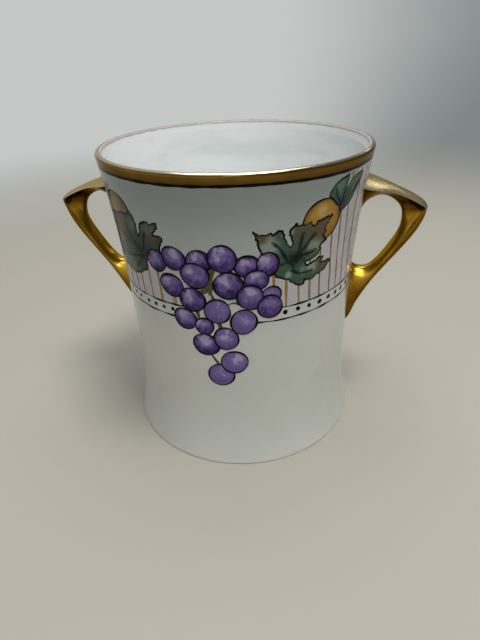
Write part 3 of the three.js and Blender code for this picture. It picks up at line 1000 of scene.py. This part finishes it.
def border_level(z, s):
    """A height on the border, which isn't quite level."""
    turn = np.asarray(s, float) / ARC_RADIUS
    return z - 0.3 * np.cos(turn) + 0.07 * np.sin(8 * turn + z) + 0.05 * np.sin(21 * turn + 2 * z)


def paint_panel(suffix, turn):
    """The dotted border and the striped panel from one picture's middle round to the other's."""
    pieces = paintings(
        suffix, turn, border_lines=ink, border_dots=ink, stripes=ochre, stripe_shades=umber,
        striped_ground=wash,
    )
    borders, dots, stripes, shades, ground = pieces
    chance = random.Random(9)
    for z, start, seed in ((BORDER_TOP, 19, 6), (BORDER_FOOT, 12, 7)):
        s = np.arange(start, HALF_ROUND - PANEL_FROM, 0.8)
        borders.ribbon(np.column_stack([s, border_level(z, s)]), BORDER_LINE, LINE, wander=0.2, seed=seed)
    for s in RIGHT_DOTS + [HALF_ROUND - place for place in LEFT_DOTS]:
        size = chance.uniform(0.8, 0.98) * (RIGHT_DOT if s in RIGHT_DOTS else LEFT_DOT)
        place = (s, float(border_level(DOT_HEIGHT, s)) + chance.uniform(-0.12, 0.12))
        dots.film(ellipse(place, (size, size * 0.95), 0, 0.3, 0.07, int(s)), LINE, pitch=0.6)
    across = np.arange(PANEL_FROM, HALF_ROUND - PANEL_FROM + 0.5, 0.9)
    foot = np.column_stack([across, border_level(BORDER_TOP, across)])
    top = np.array([(s, panel_top(s) + 0.5) for s in across[::-1]])
    ground.film(np.vstack([foot, top]), GROUND, pitch=1.0)
    for k, s in enumerate(RIGHT_STRIPES + [HALF_ROUND - place for place in LEFT_STRIPES]):
        away = min(s, HALF_ROUND - s)
        lean = LEAN * math.sin(math.pi * min(max((s - 20) / 60, 0), 1))
        z = np.arange(BORDER_TOP - 0.2, panel_top(s) - 0.2, 0.8)
        path = np.column_stack([s - lean * (z - BORDER_TOP) + 0.08 * np.sin(z / 3 + k), z])
        width = chance.uniform(0.68, 0.95) + max(0, 30 - away) * 0.045
        stripes.ribbon(path, width, STRIPE, wander=0.1, seed=300 + k)
        if away > 32:
            offset = chance.choice((-0.4, -0.1, 0.4)) * width
            shades.ribbon(path + [offset, 0], SHADE_LINE, STRIPE + 0.003, wander=0.2, seed=400 + k)
    for piece in pieces:
        piece.make()


paint_panel("_right", 0.0)
paint_panel("_left", math.pi)

around = np.arange(0, 2 * HALF_ROUND, 0.85)
circle = np.column_stack([around, LIP_SEAT - 0.3 + 0.08 * np.sin(6 * around / ARC_RADIUS)])
black_line = Painting("black_line", ink)
black_line.ribbon(circle, BLACK_LINE, LINE, closed=True, wander=0.07, seed=5)
black_line.make()


# Stage, light and camera

# The right side of the backdrop is dimmer: painted shade.
BACKDROP, DIM_BACKDROP = "#c4c8c7", "#808686"  # to the left and to the right
FLOOR_REACH = 12.0  # this and the lamps are in metres
AMBIENT = 0.05


def backdrop_tone(finish, direction):
    """The backdrop's colour for a direction in the room, dimmed to the right by painted shade."""
    return finish.mix(finish.ramp(finish.split(direction)[0], -0.1, 0.4), BACKDROP, DIM_BACKDROP)


def floor_finish():
    """A pale table top that runs into the backdrop's colour far away, for what the camera sees."""
    finish = Finish("studio_floor", "#aaa69c", 0.8, specular=0.2)
    away = finish.vector("LENGTH", finish.coordinates)["Value"]
    far = finish.times(finish.ramp(away, 0.25, 0.8), finish.seen())
    tone = backdrop_tone(finish, finish.vector("NORMALIZE", finish.coordinates)["Vector"])
    plain = finish.node("Emission", {"Color": tone})[0]
    finish.show(far, finish.shader.outputs[0], plain, "Material Output")
    return finish.material


floor_mesh = bpy.data.meshes.new("studio_floor")
corners = [(x * FLOOR_REACH, y * FLOOR_REACH, 0) for x, y in ((-1, -1), (1, -1), (1, 1), (-1, 1))]
floor_mesh.from_pydata(corners, [], [(0, 1, 2, 3)])
floor_mesh.materials.append(floor_finish())
floor = new_object("studio_floor", floor_mesh)


def add_lamp(name, place, aim, size, watts, color):
    light = bpy.data.lights.new(name, "AREA")
    light.shape = "RECTANGLE"
    light.size, light.size_y = size
    light.energy, light.color = watts, color
    lamp = new_object(name, light)
    lamp.location = place
    lamp.rotation_euler = (Vector(aim) - Vector(place)).to_track_quat("-Z", "Y").to_euler()


add_lamp("overhead", (0.27, -0.22, 1.14), (0, 0, 0.05), (0.34, 0.3), 7.1, (1.0, 0.995, 0.975))
add_lamp("ceiling", (0, 0.1, 1.25), (0, 0.1, 0), (1.1, 1.1), 11.8, (0.98, 0.99, 1.0))
add_lamp("front", (0.09, -0.85, 0.9), (0, 0, 0.06), (0.22, 0.42), 1.8, (1.0, 0.99, 0.96))
add_lamp("back", (0.5, 1.02, 0.52), (0.06, 0, 0.1), (0.16, 0.1), 0.2, (1.0, 0.99, 0.98))

world = bpy.data.worlds.new("studio")
bpy.context.scene.world = world
room = Nodes(world)
ambient = room.tree.nodes["Background"]
room.plug("#e2e8ea", ambient.inputs["Color"])
room.plug(AMBIENT, ambient.inputs["Strength"])
tone = backdrop_tone(room, room.node("TexCoord")["Generated"])
backdrop = room.node("Background", {"Color": tone})[0]
room.show(room.seen(), ambient.outputs[0], backdrop, "World Output")

# The camera as fitted to the photograph: its place, its angles, and its focal length in pixels.
CAMERA_PLACE = (28.84, -189.08, 157.97)
PITCH, YAW, ROLL = (math.radians(angle) for angle in (31.35, -8.864, 2.19))
FOCAL_PIXELS, PICTURE_HEIGHT, SENSOR = 459.26, 640, 36

forward = Vector((math.sin(YAW) * math.cos(PITCH), math.cos(YAW) * math.cos(PITCH), -math.sin(PITCH)))
level_right = Vector((math.cos(YAW), -math.sin(YAW), 0))
level_down = forward.cross(level_right)
right = math.cos(ROLL) * level_right + math.sin(ROLL) * level_down
down = -math.sin(ROLL) * level_right + math.cos(ROLL) * level_down
lens = bpy.data.cameras.new("photo_camera")
lens.lens = FOCAL_PIXELS / PICTURE_HEIGHT * SENSOR
lens.sensor_width = SENSOR
lens.clip_start = 0.01
camera = new_object("photo_camera", lens)
pose = Matrix((right, -down, -forward)).transposed().to_4x4()
pose.translation = Vector(CAMERA_PLACE) * MM
camera.matrix_world = pose
bpy.context.scene.camera = camera
bpy.context.scene.view_settings.view_transform = "Standard"
